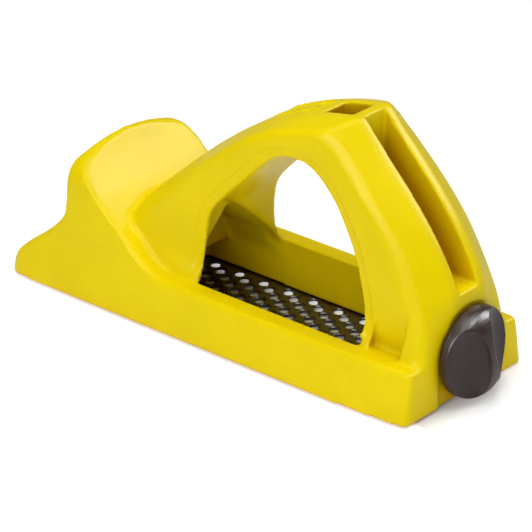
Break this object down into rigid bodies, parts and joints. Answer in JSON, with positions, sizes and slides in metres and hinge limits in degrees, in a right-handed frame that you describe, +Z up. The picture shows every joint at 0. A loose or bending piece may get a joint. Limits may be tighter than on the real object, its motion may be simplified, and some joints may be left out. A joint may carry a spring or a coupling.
{
  "type": "pocket plane with perforated rasp blade",
  "caption": "Small shaping plane: a D-handled plastic body over a perforated rasp blade, tensioned by a knob at the heel.",
  "frame": {"origin": "bottom centre of the overall box, at the tips of the blade's teeth", "axes": "+X from the toe to the knob at the heel, +Y across the sole, +Z up through the handle"},
  "size_m": [0.1655, 0.0574, 0.0783],
  "materials": {
    "body_plastic": "satin moulded yellow plastic",
    "knob_plastic": "satin dark brown moulded plastic",
    "blade_steel": "black oxide on hardened steel",
    "plated_steel": "bright zinc plating"
  },
  "bodies": {
    "plane_body": {"body": "body_plastic", "rasp_blade": "blade_steel", "toe_pin": "plated_steel"},
    "tensioner": {"tension_hook": "plated_steel", "square_nut": "plated_steel"},
    "knob": {"tension_knob": "knob_plastic", "tension_stud": "plated_steel", "thrust_washer": "plated_steel"}
  },
  "joints": [
    {"name": "knob_turn", "type": "hinge", "parent": "plane_body", "child": "knob", "pos_m": [0.07335, 0, 0.0155], "axis": [1, 0, 0], "range_deg": [0, 1349]},
    {"name": "hook_slide", "type": "slide", "parent": "plane_body", "child": "tensioner", "axis": [1, 0, 0], "range_m": [-0.003, 0]}
  ],
  "couplings": [
    {"joint": "hook_slide", "follows": "knob_turn", "m_per_rad": -0.00012732}
  ]
}
